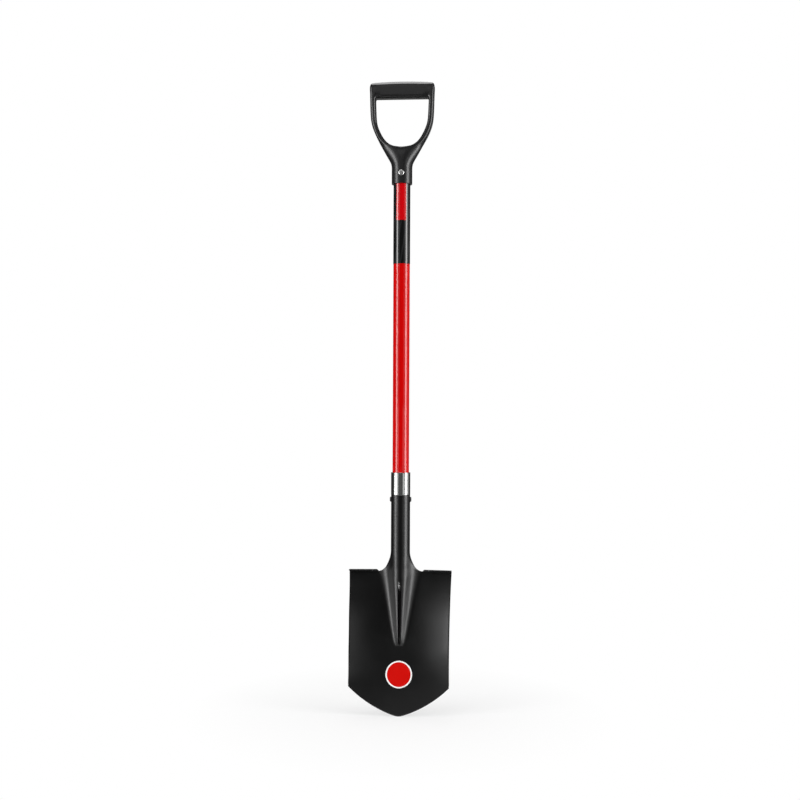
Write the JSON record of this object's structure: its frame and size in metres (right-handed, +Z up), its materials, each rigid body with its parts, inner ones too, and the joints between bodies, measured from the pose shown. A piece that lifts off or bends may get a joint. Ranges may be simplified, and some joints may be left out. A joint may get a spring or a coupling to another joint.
{
  "type": "pointed digging spade",
  "caption": "Pointed digging spade: dished steel blade with foot treads and a pressed frog, metal ferrule, fibreglass shaft with a sleeve, and a moulded D-shaped hand grip.",
  "frame": {"origin": "middle of the cross bar's underside, where the spade hangs on a peg", "axes": "+Z up the shaft axis towards the grip, -Y out of the blade's hollow front, +X to the right seen from the front"},
  "size_m": [0.1952, 0.0591, 1.1943],
  "materials": {
    "blade_coat": "satin black powder coat on pressed steel",
    "sticker_film": "glossy red vinyl with a pale rim",
    "ferrule_metal": "bright, slightly pitted",
    "rivet_steel": "blackened steel",
    "shaft_fibreglass": "glossy red pultruded fibreglass",
    "core_wood": "plain, hidden",
    "sleeve_film": "glossy black film with a red panel",
    "grip_plastic": "satin moulded black",
    "screw_steel": "bright zinc plate"
  },
  "bodies": {
    "root": {"blade": "blade_coat", "blade_sticker": "sticker_film", "socket_ferrule": "ferrule_metal", "socket_rivet": "rivet_steel", "shaft_tube": "shaft_fibreglass", "shaft_lower_core": "core_wood", "shaft_upper_core": "core_wood", "shaft_sleeve": "sleeve_film", "d_grip": "grip_plastic", "grip_screw": "screw_steel"}
  },
  "joints": []
}
